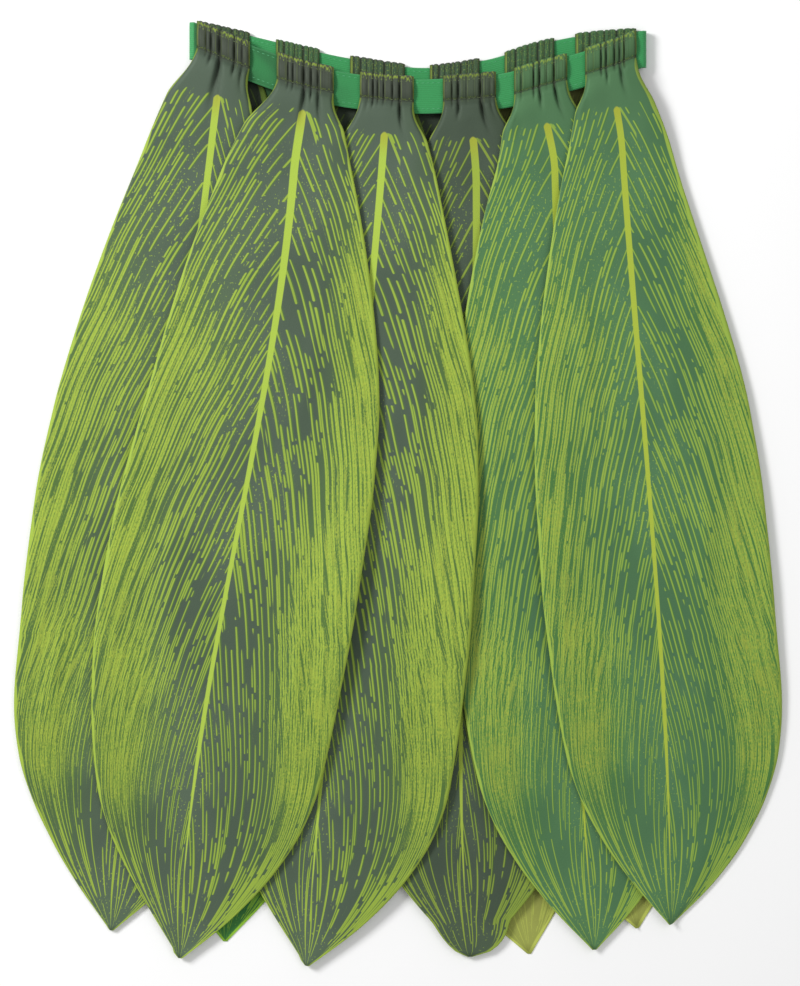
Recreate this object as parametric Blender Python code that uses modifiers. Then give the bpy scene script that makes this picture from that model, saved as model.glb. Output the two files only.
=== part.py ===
"""Ti leaf skirt laid flat, front up: twelve cloth leaves gathered over an elastic waist tape."""
import math
from collections import namedtuple

import bmesh
import bpy
import numpy as np

MM = 0.001

# Driving sizes of the cloth and the tape
CLOTH_WALL = 1.2 * MM
TAPE_WALL = 1.2 * MM
TAPE_WIDTH = 22 * MM
END_MARGIN = 4.5 * MM
SEAM_GAP = 0.3 * MM
LAY_GAP = 0.35 * MM

# Gathered head of a leaf, measured down from the tape's top edge
GATHERS = 6
HEADER_EXTRA = 0.2 * MM
CASING_DEPTH = 14 * MM
FLAP_GATHER = 1.0 * MM
FRONT_GATHER = 1.7 * MM

# Distances along a leaf, as shares of its length below the casing
FLARE_END = 0.05
HEAD_SLOPE_END = 0.15
GATHER_END = 0.13
STEP_DOWN_END = 0.16
FULL_SHARE_START = 0.10
FULL_SHARE_END = 0.40
BELLY_PLACE = 0.76
BELLY_REACH = 0.14
TIP_POWER = 5

# Heights of the layers at the waist, each at the middle of its wall
FOLD_RADIUS = (CLOTH_WALL + TAPE_WALL) / 2 + SEAM_GAP
BACK_TAPE_HEIGHT = CLOTH_WALL / 2 + FOLD_RADIUS
BACK_FLAP_TOP = BACK_TAPE_HEIGHT + FOLD_RADIUS + CLOTH_WALL / 2 + FLAP_GATHER
FRONT_TAPE_HEIGHT = BACK_FLAP_TOP + SEAM_GAP + CLOTH_WALL / 2 + FOLD_RADIUS
FRONT_HEAD_HEIGHT = FRONT_TAPE_HEIGHT + FOLD_RADIUS

# Line of the tape's top edge, in millimetres
BandPoint = namedtuple("BandPoint", "x y")
FRONT_BAND = [
    BandPoint(-134.4, 303.0), BandPoint(-94.6, 287.0), BandPoint(-59.3, 275.0), BandPoint(-24.1, 268.0),
    BandPoint(12.0, 265.0), BandPoint(61.3, 268.0), BandPoint(95.9, 276.5), BandPoint(130.5, 286.5),
    BandPoint(159.4, 297.4),
]
BACK_BAND = [
    BandPoint(-134.4, 303.0), BandPoint(-93.3, 293.5), BandPoint(-61.3, 285.8), BandPoint(-31.1, 279.4),
    BandPoint(17.0, 273.3), BandPoint(54.8, 278.1), BandPoint(94.0, 289.4), BandPoint(122.2, 294.5),
    BandPoint(159.4, 297.4),
]

# Cut of every leaf: half its width in millimetres along its length
CutPoint = namedtuple("CutPoint", "share half_width")
LEAF_CUT = [
    CutPoint(0.00, 19.0), CutPoint(0.05, 30.5), CutPoint(0.10, 40.1), CutPoint(0.20, 55.2),
    CutPoint(0.30, 66.4), CutPoint(0.40, 74.4), CutPoint(0.50, 78.6), CutPoint(0.60, 79.2),
    CutPoint(0.70, 76.0), CutPoint(0.80, 68.6), CutPoint(0.85, 60.0), CutPoint(0.90, 45.5),
    CutPoint(0.95, 25.7), CutPoint(1.00, 1.2),
]

# How each leaf lies, in millimetres, in the order in which they are laid down.
# rib_0 to rib_100 are the midrib's places across the skirt, left and right are shares of the cut's width,
# belly is a share added where the outer leaves bulge, and tip_round rounds a blunt tip.
Lay = namedtuple(
    "Lay", "name side head_x half_head rib_0 rib_50 rib_80 rib_100 tip_y "
           "left_top left_low left_tip right_top right_low right_tip left_belly right_belly tip_round")
LEAVES = [
    Lay("back_leaf_2", "back", -64.8, 14.0, -64.8, -87.5, -102.3, -111.7, -289.3,
        0.76, 1.00, 1.00, 0.76, 1.00, 1.00, 0.00, 0.00, 2.0),
    Lay("back_leaf_5", "back", 84.3, 16.0, 84.3, 70.2, 63.2, 84.3, -297.3,
        0.76, 1.00, 1.00, 0.76, 1.00, 1.00, 0.00, 0.00, 2.0),
    Lay("back_leaf_1", "back", -112.6, 16.8, -112.9, -136.3, -149.8, -159.4, -255.0,
        0.90, 0.95, 1.00, 0.72, 1.00, 1.00, 0.00, 0.00, 2.0),
    Lay("back_leaf_4", "back", 36.2, 16.0, 36.2, 39.4, 40.7, 40.7, -280.6,
        0.76, 1.00, 1.00, 0.76, 1.00, 1.00, 0.00, 0.00, 2.0),
    Lay("back_leaf_3", "back", -13.5, 17.6, -13.5, -31.1, -43.3, -51.6, -283.8,
        0.76, 1.00, 1.00, 0.76, 1.00, 1.00, 0.00, 0.00, 2.0),
    Lay("back_leaf_6", "back", 133.4, 19.6, 134.0, 136.9, 134.4, 153.9, -280.6,
        0.76, 1.00, 1.00, 0.80, 0.95, 1.00, 0.00, 0.00, 2.0),
    Lay("front_leaf_1", "front", -112.2, 17.0, -112.6, -148.8, -170.6, -185.0, -281.9,
        1.06, 1.08, 0.90, 0.72, 1.00, 1.25, 0.06, 0.00, 2.0),
    Lay("front_leaf_4", "front", 45.5, 17.0, 48.5, 43.6, 40.1, 45.9, -298.6,
        0.95, 0.97, 1.05, 0.95, 1.00, 1.30, 0.00, 0.00, 24.0),
    Lay("front_leaf_5", "front", 91.1, 17.0, 99.0, 108.1, 117.4, 126.0, -294.1,
        0.96, 0.96, 1.00, 0.85, 1.00, 1.15, 0.00, 0.00, 2.0),
    Lay("front_leaf_3", "front", -7.4, 17.3, -7.4, -33.4, -50.4, -59.3, -304.3,
        0.92, 1.05, 0.70, 0.92, 1.05, 1.52, 0.00, 0.00, 2.0),
    Lay("front_leaf_2", "front", -59.7, 18.3, -63.5, -102.0, -131.2, -140.8, -299.5,
        1.17, 1.05, 0.62, 0.93, 1.05, 1.45, 0.00, 0.00, 2.0),
    Lay("front_leaf_6", "front", 136.0, 16.4, 140.1, 161.0, 171.9, 175.1, -277.7,
        0.88, 0.93, 0.97, 0.80, 0.93, 1.20, 0.00, 0.05, 2.0),
]

# Rows of a leaf's head, from the edge of the turned-down flap to the casing's lower stitching.
# drop is in millimetres below the tape's top edge, turn is an angle round the fold, gather a share.
HeadRow = namedtuple("HeadRow", "part drop turn gather")
HEAD_ROWS = {
    "front": [
        HeadRow("flap", 20, 0, 0.0), HeadRow("flap", 10, 0, 0.0), HeadRow("fold", 0, -90, 0.0),
        HeadRow("fold", 0, -30, 0.15), HeadRow("fold", 0, 30, 0.25), HeadRow("fold", 0, 90, 0.35),
        HeadRow("outer", 1.6, 0, 0.3), HeadRow("outer", 7.5, 0, 1.0),
    ],
    "back": [
        HeadRow("flap", 20, 0, 1.0), HeadRow("flap", 14, 0, 0.4), HeadRow("flap", 7.5, 0, 1.0),
        HeadRow("flap", 1.6, 0, 0.3), HeadRow("fold", 0, -90, 0.3), HeadRow("fold", 0, -30, 0.2),
        HeadRow("fold", 0, 30, 0.1), HeadRow("fold", 0, 90, 0.0), HeadRow("outer", 7.5, 0, 0.0),
    ],
}
LEAF_ROWS = {
    "front": [0, 0.02, 0.045, 0.08, 0.13, 0.20, 0.29, 0.40, 0.52, 0.63, 0.73, 0.81, 0.87, 0.92, 0.96, 0.988, 1],
    "back": [0, 0.016, 0.05, 0.12, 0.25, 0.42, 0.58, 0.72, 0.82, 0.90, 0.96, 1],
}
ROWS_UNDER_TAPE = 2
STITCHED_GATHER = 0.45
GATHER_HEIGHTS = [0.8, 1.0, 0.65, 0.9, 0.7, 1.0]

# Soft swells in the cloth that lies on top: places and reaches as shares, height in millimetres
Swell = namedtuple("Swell", "leaf across along reach_across reach_along height")
SWELLS = [
    Swell("front_leaf_1", -0.55, 0.45, 0.35, 0.30, 2.0), Swell("front_leaf_2", 0.75, 0.62, 0.40, 0.28, 3.0),
    Swell("front_leaf_2", -0.40, 0.30, 0.30, 0.22, 1.6), Swell("front_leaf_3", 0.60, 0.55, 0.40, 0.30, 2.2),
    Swell("front_leaf_5", -0.50, 0.60, 0.40, 0.30, 2.0), Swell("front_leaf_6", -0.70, 0.45, 0.40, 0.32, 2.6),
    Swell("front_leaf_6", 0.60, 0.66, 0.35, 0.24, 2.2), Swell("front_leaf_4", 0.30, 0.80, 0.50, 0.16, 1.6),
]

# Height map under the leaves
MAP_CELL = 2 * MM
MAP_REACH_X = 0.28
MAP_REACH_Y = 0.33
SAMPLES_PER_SIDE = 36
SETTLING_PASSES = 4

COLLECTION_NAME = "ti_leaf_skirt"
GREY_GREEN = (0.09, 0.13, 0.10)
GREEN = (0.08, 0.20, 0.11)
OLIVE = (0.30, 0.33, 0.08)
TAPE_GREEN = (0.05, 0.38, 0.13)
LEAF_COLOURS = {"front_leaf_5": GREEN, "front_leaf_6": GREEN, "back_leaf_5": OLIVE, "back_leaf_6": OLIVE}


def smooth_step(value):
    """Ease from 0 to 1 without a corner."""
    value = np.clip(value, 0.0, 1.0)
    return value * value * (3 - 2 * value)


def smooth_table(xs, ys, at):
    """Read a table along a smooth curve that never bulges past its points."""
    xs = np.asarray(xs, float)
    ys = np.asarray(ys, float)
    steps = np.diff(xs)
    slopes = np.diff(ys) / steps
    tangents = np.concatenate([[slopes[0]], np.zeros(len(xs) - 2), [slopes[-1]]])
    for k in range(1, len(xs) - 1):
        if slopes[k - 1] * slopes[k] > 0:
            tangents[k] = 2 * slopes[k - 1] * slopes[k] / (slopes[k - 1] + slopes[k])
    k = np.clip(np.searchsorted(xs, at) - 1, 0, len(xs) - 2)
    w = (at - xs[k]) / steps[k]
    value = (1 + 2 * w) * (1 - w) ** 2 * ys[k] + w * (1 - w) ** 2 * steps[k] * tangents[k]
    return value + w * w * (3 - 2 * w) * ys[k + 1] + w * w * (w - 1) * steps[k] * tangents[k + 1]


def band_line(side, x):
    """Height in the picture plane of the tape's top edge at x, in metres."""
    table = FRONT_BAND if side == "front" else BACK_BAND
    return smooth_table([p.x for p in table], [p.y for p in table], x / MM) * MM


def band_stretch(x):
    """Length along Y of one unit across the sloping tape."""
    reach = 4 * MM
    slope = (band_line("front", x + reach) - band_line("front", x - reach)) / (2 * reach)
    return np.sqrt(1 + slope * slope)


def rib_line(leaf, share):
    """Midrib of a leaf, a smooth line through its four places."""
    stations = [0.0, 0.5, 0.8, 1.0]
    places = [leaf.rib_0, leaf.rib_50, leaf.rib_80, leaf.rib_100]
    total = 0.0
    for i, place in enumerate(places):
        term = place
        for j, station in enumerate(stations):
            if j != i:
                term = term * (share - station) / (stations[i] - station)
        total = total + term
    return total * MM


def half_width(leaf, across, share):
    """Distance from the midrib to the leaf's edge on one side."""
    left = across < 0
    top = np.where(left, leaf.left_top, leaf.right_top)
    low = np.where(left, leaf.left_low, leaf.right_low)
    tip = np.where(left, leaf.left_tip, leaf.right_tip)
    fullness = smooth_step((share - FULL_SHARE_START) / (FULL_SHARE_END - FULL_SHARE_START))
    belly = np.where(left, leaf.left_belly, leaf.right_belly)
    bulge = smooth_step(1 - np.abs(share - BELLY_PLACE) / BELLY_REACH)
    factor = top + (low - top) * fullness + (tip - low) * share ** TIP_POWER + belly * bulge
    cut = smooth_table([p.share for p in LEAF_CUT], [p.half_width for p in LEAF_CUT], share)
    from_tip = (1 - share) * (leaf_start(leaf) / MM - leaf.tip_y)
    inside = np.clip(leaf.tip_round - from_tip, 0, leaf.tip_round)
    rounded = np.where(from_tip < leaf.tip_round, np.sqrt(leaf.tip_round ** 2 - inside ** 2), 0.0)
    body = np.maximum(cut * factor, rounded)
    flare = smooth_step(share / FLARE_END)
    return (leaf.half_head + (body - leaf.half_head) * flare) * MM


def leaf_start(leaf):
    """Y of the lower stitching at the middle of the head."""
    x = leaf.head_x * MM
    return band_line(leaf.side, x) - CASING_DEPTH * band_stretch(x)


def leaf_plan(leaf, across, share):
    """Place of a point of the leaf in the picture plane."""
    to_head = 1 - smooth_step(share / (2 * FLARE_END))
    middle = rib_line(leaf, share) + (leaf.head_x - leaf.rib_0) * MM * to_head
    x = middle + across * half_width(leaf, across, share)
    head_x = (leaf.head_x + across * leaf.half_head) * MM
    head_y = band_line(leaf.side, head_x) - CASING_DEPTH * band_stretch(head_x)
    start = leaf_start(leaf)
    slope = (head_y - start) * (1 - smooth_step(share / HEAD_SLOPE_END))
    return x, start + (leaf.tip_y * MM - start) * share + slope


def gather_wave():
    """Heights of the gathers across a head: a crest on every second column."""
    wave = np.zeros(2 * GATHERS + 1)
    wave[1::2] = GATHER_HEIGHTS
    return wave


def head_points(leaf, row):
    """One row of points of the head, folded over the tape."""
    up = 1 if leaf.side == "front" else -1
    tape_height = FRONT_TAPE_HEIGHT if leaf.side == "front" else BACK_TAPE_HEIGHT
    across = np.linspace(-1, 1, 2 * GATHERS + 1)
    x = (leaf.head_x + across * leaf.half_head) * MM
    wave = gather_wave() * row.gather
    if row.part == "fold":
        turn = math.radians(row.turn)
        rise = FOLD_RADIUS + wave * (FRONT_GATHER if up > 0 else FLAP_GATHER)
        y = band_line(leaf.side, x) + HEADER_EXTRA + rise * math.cos(turn)
        z = tape_height + up * rise * math.sin(turn)
    else:
        y = band_line(leaf.side, x) - row.drop * MM * band_stretch(x)
        outer = 1 if row.part == "outer" else -1
        crest = FRONT_GATHER if row.part == "outer" else FLAP_GATHER
        z = tape_height + up * outer * FOLD_RADIUS + wave * crest
    return np.stack([x, y, z + np.zeros_like(x)], axis=1)


class HeightMap:
    """Highest surface laid down so far, over the picture plane."""

    def __init__(self):
        self.columns = int(2 * MAP_REACH_X / MAP_CELL)
        self.rows = int(2 * MAP_REACH_Y / MAP_CELL)
        self.top = np.zeros((self.rows, self.columns))

    def cell(self, x, y):
        column = np.clip(((x + MAP_REACH_X) / MAP_CELL).astype(int), 0, self.columns - 1)
        row = np.clip(((y + MAP_REACH_Y) / MAP_CELL).astype(int), 0, self.rows - 1)
        return row, column

    def add(self, points, wall):
        """Lay down a sheet of points, read on both diagonals of each of its quads."""
        a, b = points[:-1, :-1], points[:-1, 1:]
        d, c = points[1:, :-1], points[1:, 1:]
        steps = np.linspace(0, 1, SAMPLES_PER_SIDE)
        for first, second, third in ((a, b, c), (a, c, d), (a, b, d), (b, c, d)):
            for s in steps:
                for t in steps[steps <= 1 - s + 1e-9]:
                    p = (first + (second - first) * s + (third - first) * t).reshape(-1, 3)
                    row, column = self.cell(p[:, 0], p[:, 1])
                    np.maximum.at(self.top, (row, column), p[:, 2] + wall / 2)

    def highest(self, low, high):
        """Highest surface in a window, with one cell more on each side."""
        row_0, column_0 = self.cell(np.array(low[0]), np.array(low[1]))
        row_1, column_1 = self.cell(np.array(high[0]), np.array(high[1]))
        window = self.top[max(row_0 - 1, 0):row_1 + 2, max(column_0 - 1, 0):column_1 + 2]
        return float(window.max())


def neighbour_mean(heights):
    """Mean of each height and its neighbours."""
    padded = np.pad(heights, 1, mode="edge")
    return (padded[:-2, 1:-1] + padded[2:, 1:-1] + padded[1:-1, :-2] + padded[1:-1, 2:] + heights) / 5


def leaf_body(leaf, surface):
    """Rows of the leaf below its stitching, settled on what lies under it."""
    shares = np.array(LEAF_ROWS[leaf.side], float)
    across = np.linspace(-1, 1, 2 * GATHERS + 1)
    grid_across, grid_share = np.meshgrid(across, shares)
    x, y = leaf_plan(leaf, grid_across, grid_share)
    lowest = np.zeros_like(x)
    for i in range(x.shape[0]):
        for j in range(x.shape[1]):
            near = (slice(max(i - 1, 0), i + 2), slice(max(j - 1, 0), j + 2))
            top = surface.highest((x[near].min(), y[near].min()), (x[near].max(), y[near].max()))
            lowest[i, j] = CLOTH_WALL / 2 + (top + LAY_GAP if top > 0 else 0)
    if leaf.side == "front":
        step_down = 1 - smooth_step(grid_share / STEP_DOWN_END)
        lowest = np.maximum(lowest, FRONT_HEAD_HEIGHT * step_down)
    head_rows = 1 if leaf.side == "front" else ROWS_UNDER_TAPE
    head_level = FRONT_HEAD_HEIGHT if leaf.side == "front" else CLOTH_WALL / 2
    z = lowest.copy()
    z[:head_rows] = head_level
    for _ in range(SETTLING_PASSES):
        z[head_rows:] = np.maximum(lowest, neighbour_mean(z))[head_rows:]
    if leaf.side == "front":
        z = z + gathers_below_stitching(grid_share) + swells(leaf, grid_across, grid_share)
    return np.stack([x, y, z], axis=2)


def gathers_below_stitching(share):
    """Folds that run down from the stitching and fade out."""
    fade = 1 - smooth_step(share / GATHER_END)
    strength = np.where(share > 0, fade, STITCHED_GATHER)
    return gather_wave()[None, :] * strength * FRONT_GATHER


def swells(leaf, across, share):
    """Soft swells of the cloth between the places where it lies down."""
    total = np.zeros_like(share)
    for swell in SWELLS:
        if swell.leaf == leaf.name:
            side = np.clip(np.abs(across - swell.across) / swell.reach_across, 0, 1)
            down = np.clip(np.abs(share - swell.along) / swell.reach_along, 0, 1)
            total += swell.height * MM * smooth_step(1 - side) * smooth_step(1 - down)
    return total


def make_material(name, colour, roughness):
    material = bpy.data.materials.new(name)
    material.use_nodes = True
    shader = material.node_tree.nodes["Principled BSDF"]
    shader.inputs["Base Color"].default_value = (*colour, 1)
    shader.inputs["Roughness"].default_value = roughness
    shader.inputs["Metallic"].default_value = 0.0
    return material


def finish_piece(name, bm, wall, material, collection):
    """Turn an open sheet into a named wall of cloth."""
    mesh = bpy.data.meshes.new(name)
    bm.to_mesh(mesh)
    bm.free()
    mesh.shade_smooth()
    mesh.set_sharp_from_angle(angle=math.radians(50))
    mesh.materials.append(material)
    piece = bpy.data.objects.new(name, mesh)
    collection.objects.link(piece)
    thickness = piece.modifiers.new("cloth thickness", "SOLIDIFY")
    thickness.thickness = wall
    thickness.offset = 0
    return piece


def make_leaf(leaf, points, collection):
    """Grid of the leaf, moved to its points, with the cloth's thickness."""
    rows, columns = points.shape[:2]
    bm = bmesh.new()
    bmesh.ops.create_grid(bm, x_segments=columns - 1, y_segments=rows - 1, size=1)
    for vertex in bm.verts:
        column = round((vertex.co.x + 1) / 2 * (columns - 1))
        row = round((vertex.co.y + 1) / 2 * (rows - 1))
        vertex.co = points[row, column]
    material = make_material(leaf.name, LEAF_COLOURS.get(leaf.name, GREY_GREEN), 0.75)
    return finish_piece(leaf.name, bm, CLOTH_WALL, material, collection)


def tape_stations():
    """Closed path of the tape's top edge: front run, right turn, back run, left turn."""
    run_steps = 27
    turn_steps = 6
    turn_radius = (FRONT_TAPE_HEIGHT - BACK_TAPE_HEIGHT) / 2
    middle_height = (FRONT_TAPE_HEIGHT + BACK_TAPE_HEIGHT) / 2
    left = FRONT_BAND[0].x * MM + turn_radius + TAPE_WALL / 2
    right = FRONT_BAND[-1].x * MM - turn_radius - TAPE_WALL / 2
    run = np.linspace(left, right, run_steps)

    def turn(x, outward, first, second):
        """Half circle of the tape at one end, from one run to the other."""
        for k in range(1, turn_steps):
            angle = math.pi * k / turn_steps
            reach = turn_radius * math.sin(angle)
            drop = turn_radius * math.cos(angle)
            y = band_line(first, x) + (band_line(second, x) - band_line(first, x)) * k / turn_steps
            yield x + outward * reach, y, middle_height + outward * drop

    stations = [(x, band_line("front", x), FRONT_TAPE_HEIGHT) for x in run]
    stations += list(turn(right, 1, "front", "back"))
    stations += [(x, band_line("back", x), BACK_TAPE_HEIGHT) for x in run[::-1]]
    stations += list(turn(left, -1, "back", "front"))
    return np.array(stations, float)


def make_tape(collection):
    """Elastic tape: a ring of edges laid on its path and drawn down by the tape's width."""
    stations = tape_stations()
    bm = bmesh.new()
    ring = bmesh.ops.create_circle(bm, segments=len(stations), radius=1, cap_ends=False)["verts"]
    for vertex, station in zip(ring, stations):
        vertex.co = station
    drawn = bmesh.ops.extrude_edge_only(bm, edges=bm.edges[:])
    for vertex in (item for item in drawn["geom"] if isinstance(item, bmesh.types.BMVert)):
        x = np.clip(vertex.co.x, FRONT_BAND[0].x * MM + END_MARGIN, FRONT_BAND[-1].x * MM - END_MARGIN)
        vertex.co.y -= TAPE_WIDTH * float(band_stretch(x))
    bmesh.ops.recalc_face_normals(bm, faces=bm.faces)
    return finish_piece("waist_tape", bm, TAPE_WALL, make_material("waist_tape", TAPE_GREEN, 0.6), collection)


def tape_run(side):
    """Flat stretch of the tape on one side, as a sheet of points for the height map."""
    height = FRONT_TAPE_HEIGHT if side == "front" else BACK_TAPE_HEIGHT
    x = np.linspace(FRONT_BAND[0].x * MM, FRONT_BAND[-1].x * MM, 60)
    top = band_line(side, x)
    rows = [np.stack([x, top - TAPE_WIDTH * band_stretch(x) * s, x * 0 + height], axis=1) for s in (0, 0.5, 1)]
    return np.stack(rows)


def build():
    for old in list(bpy.data.objects):
        bpy.data.objects.remove(old, do_unlink=True)
    collection = bpy.data.collections.new(COLLECTION_NAME)
    bpy.context.scene.collection.children.link(collection)
    surface = HeightMap()
    front_started = False
    for leaf in LEAVES:
        if leaf.side == "front" and not front_started:
            surface.add(tape_run("front"), TAPE_WALL)
            front_started = True
        body = leaf_body(leaf, surface)
        surface.add(body, CLOTH_WALL)
        head = np.stack([head_points(leaf, row) for row in HEAD_ROWS[leaf.side]])
        make_leaf(leaf, np.concatenate([head, body]), collection)
    make_tape(collection)


build()
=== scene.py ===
# %% [markdown]
# Ti leaf skirt, laid flat with its front up.
# The real skirt is a loop of green elastic tape with twelve long leaves of printed cloth gathered over it.
# The solids of the frame give each leaf its place. Here every solid gets a thin cloth shell on the same form,
# with finer gathers and creases, its print, its lime edges and its stitching.

# %% Load the frame
import math
from collections import namedtuple

import bmesh
import bpy
import numpy as np
from mathutils import Matrix, Vector
from mathutils.bvhtree import BVHTree


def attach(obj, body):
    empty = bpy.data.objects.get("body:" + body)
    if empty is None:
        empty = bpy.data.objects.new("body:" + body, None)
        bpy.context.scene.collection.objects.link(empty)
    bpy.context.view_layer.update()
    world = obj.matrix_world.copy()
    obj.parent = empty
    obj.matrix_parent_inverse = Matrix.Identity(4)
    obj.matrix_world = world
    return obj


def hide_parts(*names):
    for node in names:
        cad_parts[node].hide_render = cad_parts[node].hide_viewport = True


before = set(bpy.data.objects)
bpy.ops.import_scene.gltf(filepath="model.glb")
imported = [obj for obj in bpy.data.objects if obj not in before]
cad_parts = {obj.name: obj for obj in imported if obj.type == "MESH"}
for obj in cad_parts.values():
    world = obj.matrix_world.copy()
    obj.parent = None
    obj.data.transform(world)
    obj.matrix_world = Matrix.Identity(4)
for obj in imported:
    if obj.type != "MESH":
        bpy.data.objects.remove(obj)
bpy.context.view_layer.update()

BODY = "root"
MM = 0.001
print("nodes:", sorted(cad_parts))

# %% [markdown]
# Sizes first. The lines of the waist and the lay of the leaves are the solids' own, so they are repeated here
# in millimetres. The shells could be copied from the solids instead, but those have broad facets: with the
# same tables a finer grid follows the true curves.

# %% Sizes of the cloth, the tape and the gathered heads
CLOTH_WALL = 1.2 * MM
TAPE_WALL = 1.2 * MM
TAPE_WIDTH = 22 * MM
SEAM_GAP = 0.3 * MM
SHELL = 0.5 * MM
SHELL_DROP = 0.3 * MM
SHELL_GAP = 0.25 * MM
HEADER_EXTRA = 0.2 * MM
CASING_DEPTH = 14 * MM
TOP_STITCH_DEPTH = 1.8 * MM
FLAP_LENGTH = 20 * MM
FLAP_GATHER = 1.0 * MM
SOLID_GATHER = 1.7 * MM
FRONT_GATHER = 2.8 * MM
LEAF_LENGTH = 550 * MM

FOLD_RADIUS = (CLOTH_WALL + TAPE_WALL) / 2 + SEAM_GAP
BACK_TAPE_HEIGHT = CLOTH_WALL / 2 + FOLD_RADIUS
BACK_FLAP_TOP = BACK_TAPE_HEIGHT + FOLD_RADIUS + CLOTH_WALL / 2 + FLAP_GATHER
FRONT_TAPE_HEIGHT = BACK_FLAP_TOP + SEAM_GAP + CLOTH_WALL / 2 + FOLD_RADIUS
print("tape heights in mm:", round(BACK_TAPE_HEIGHT / MM, 2), round(FRONT_TAPE_HEIGHT / MM, 2))

# %% [markdown]
# The loop of tape lies flat, so its front and its back are two lines of their own: the front dips lower in
# the middle, and the back shows above it.

# %% Lines of the tape's top edge
BandPoint = namedtuple("BandPoint", "x y")
FRONT_BAND = [BandPoint(*place) for place in (
    (-134.4, 303.0), (-94.6, 287.0), (-59.3, 275.0), (-24.1, 268.0), (12.0, 265.0), (61.3, 268.0),
    (95.9, 276.5), (130.5, 286.5), (159.4, 297.4))]
BACK_BAND = [BandPoint(*place) for place in (
    (-134.4, 303.0), (-93.3, 293.5), (-61.3, 285.8), (-31.1, 279.4), (17.0, 273.3), (54.8, 278.1),
    (94.0, 289.4), (122.2, 294.5), (159.4, 297.4))]
print("waist, laid flat:", round(FRONT_BAND[-1].x - FRONT_BAND[0].x), "mm")

# %% [markdown]
# All leaves share one cut. Its place on the tape, the run of its midrib and how far each side spreads or
# folds under make the twelve differ. They are listed in the order in which they lie, the lowest first.

# %% Cut of a leaf and lay of the twelve leaves
CutPoint = namedtuple("CutPoint", "share half_width")
LEAF_CUT = [CutPoint(*point) for point in (
    (0.00, 19.0), (0.05, 30.5), (0.10, 40.1), (0.20, 55.2), (0.30, 66.4), (0.40, 74.4), (0.50, 78.6),
    (0.60, 79.2), (0.70, 76.0), (0.80, 68.6), (0.85, 60.0), (0.90, 45.5), (0.95, 25.7), (1.00, 1.2))]
FLARE_END = 0.05
BACK_FLARE_END = 0.025
HEAD_SLOPE_END = 0.15
GATHER_END = 0.13
FULL_SHARE_START = 0.10
FULL_SHARE_END = 0.40
BELLY_PLACE = 0.76
BELLY_REACH = 0.14
TIP_POWER = 5
LEFT_TIP_ROUND = 11.0
Lay = namedtuple(
    "Lay", "name side head_x half_head rib_0 rib_50 rib_80 rib_100 tip_y "
           "left_top left_low left_tip right_top right_low right_tip left_belly right_belly tip_round",
    defaults=(1.02, 1.00, 1.00, 1.02, 1.00, 1.00, 0.00, 0.00, 2.0))
LEAVES = [
    Lay("back_leaf_2", "back", -64.8, 14.0, -64.8, -87.5, -102.3, -111.7, -289.3),
    Lay("back_leaf_5", "back", 84.3, 16.0, 84.3, 70.2, 63.2, 84.3, -297.3),
    Lay("back_leaf_1", "back", -112.6, 16.8, -112.9, -136.3, -149.8, -159.4, -255.0, 0.90, 0.95),
    Lay("back_leaf_4", "back", 36.2, 16.0, 36.2, 39.4, 40.7, 40.7, -280.6),
    Lay("back_leaf_3", "back", -13.5, 17.6, -13.5, -31.1, -43.3, -51.6, -283.8),
    Lay("back_leaf_6", "back", 133.4, 19.6, 134.0, 136.9, 134.4, 153.9, -280.6,
        right_top=0.80, right_low=0.95),
    Lay("front_leaf_1", "front", -112.2, 17.0, -112.6, -148.8, -170.6, -185.0, -281.9,
        1.06, 1.08, 0.90, 0.72, 1.00, 1.25, left_belly=0.06),
    Lay("front_leaf_4", "front", 45.5, 17.0, 48.5, 43.6, 40.1, 45.9, -298.6,
        0.95, 0.97, 1.05, 0.95, 1.00, 1.30, tip_round=28.0),
    Lay("front_leaf_5", "front", 91.1, 17.0, 99.0, 108.1, 117.4, 126.0, -294.1,
        0.96, 0.96, 1.00, 0.85, 1.00, 1.15),
    Lay("front_leaf_3", "front", -7.4, 17.3, -7.4, -33.4, -50.4, -59.3, -304.3,
        0.92, 1.05, 0.70, 0.92, 1.05, 1.52),
    Lay("front_leaf_2", "front", -59.7, 18.3, -63.5, -102.0, -131.2, -140.8, -299.5,
        1.17, 1.05, 0.62, 0.93, 1.05, 1.45),
    Lay("front_leaf_6", "front", 136.0, 16.4, 140.1, 161.0, 171.9, 175.1, -277.7,
        0.88, 0.93, 0.97, 0.80, 0.93, 1.20, right_belly=0.05),
]
print("leaves:", len(LEAVES))

# %% [markdown]
# The shape of a leaf in the picture plane comes from a few small functions: a smooth reading of a table, the
# line of the tape, the midrib and the half width. A leaf point is then a share across and a share along.

# %% Plan of a leaf


def smooth_step(value):
    """Ease from 0 to 1 without a corner."""
    value = np.clip(value, 0.0, 1.0)
    return value * value * (3 - 2 * value)


def smooth_table(xs, ys, at):
    """Read a table along a smooth curve that never bulges past its points."""
    xs = np.asarray(xs, float)
    ys = np.asarray(ys, float)
    steps = np.diff(xs)
    slopes = np.diff(ys) / steps
    tangents = np.concatenate([[slopes[0]], np.zeros(len(xs) - 2), [slopes[-1]]])
    for k in range(1, len(xs) - 1):
        if slopes[k - 1] * slopes[k] > 0:
            tangents[k] = 2 * slopes[k - 1] * slopes[k] / (slopes[k - 1] + slopes[k])
    k = np.clip(np.searchsorted(xs, at) - 1, 0, len(xs) - 2)
    w = (at - xs[k]) / steps[k]
    value = (1 + 2 * w) * (1 - w) ** 2 * ys[k] + w * (1 - w) ** 2 * steps[k] * tangents[k]
    return value + w * w * (3 - 2 * w) * ys[k + 1] + w * w * (w - 1) * steps[k] * tangents[k + 1]


def band_line(side, x):
    """Y of the tape's top edge at x."""
    table = FRONT_BAND if side == "front" else BACK_BAND
    return smooth_table([p.x for p in table], [p.y for p in table], x / MM) * MM


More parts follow.
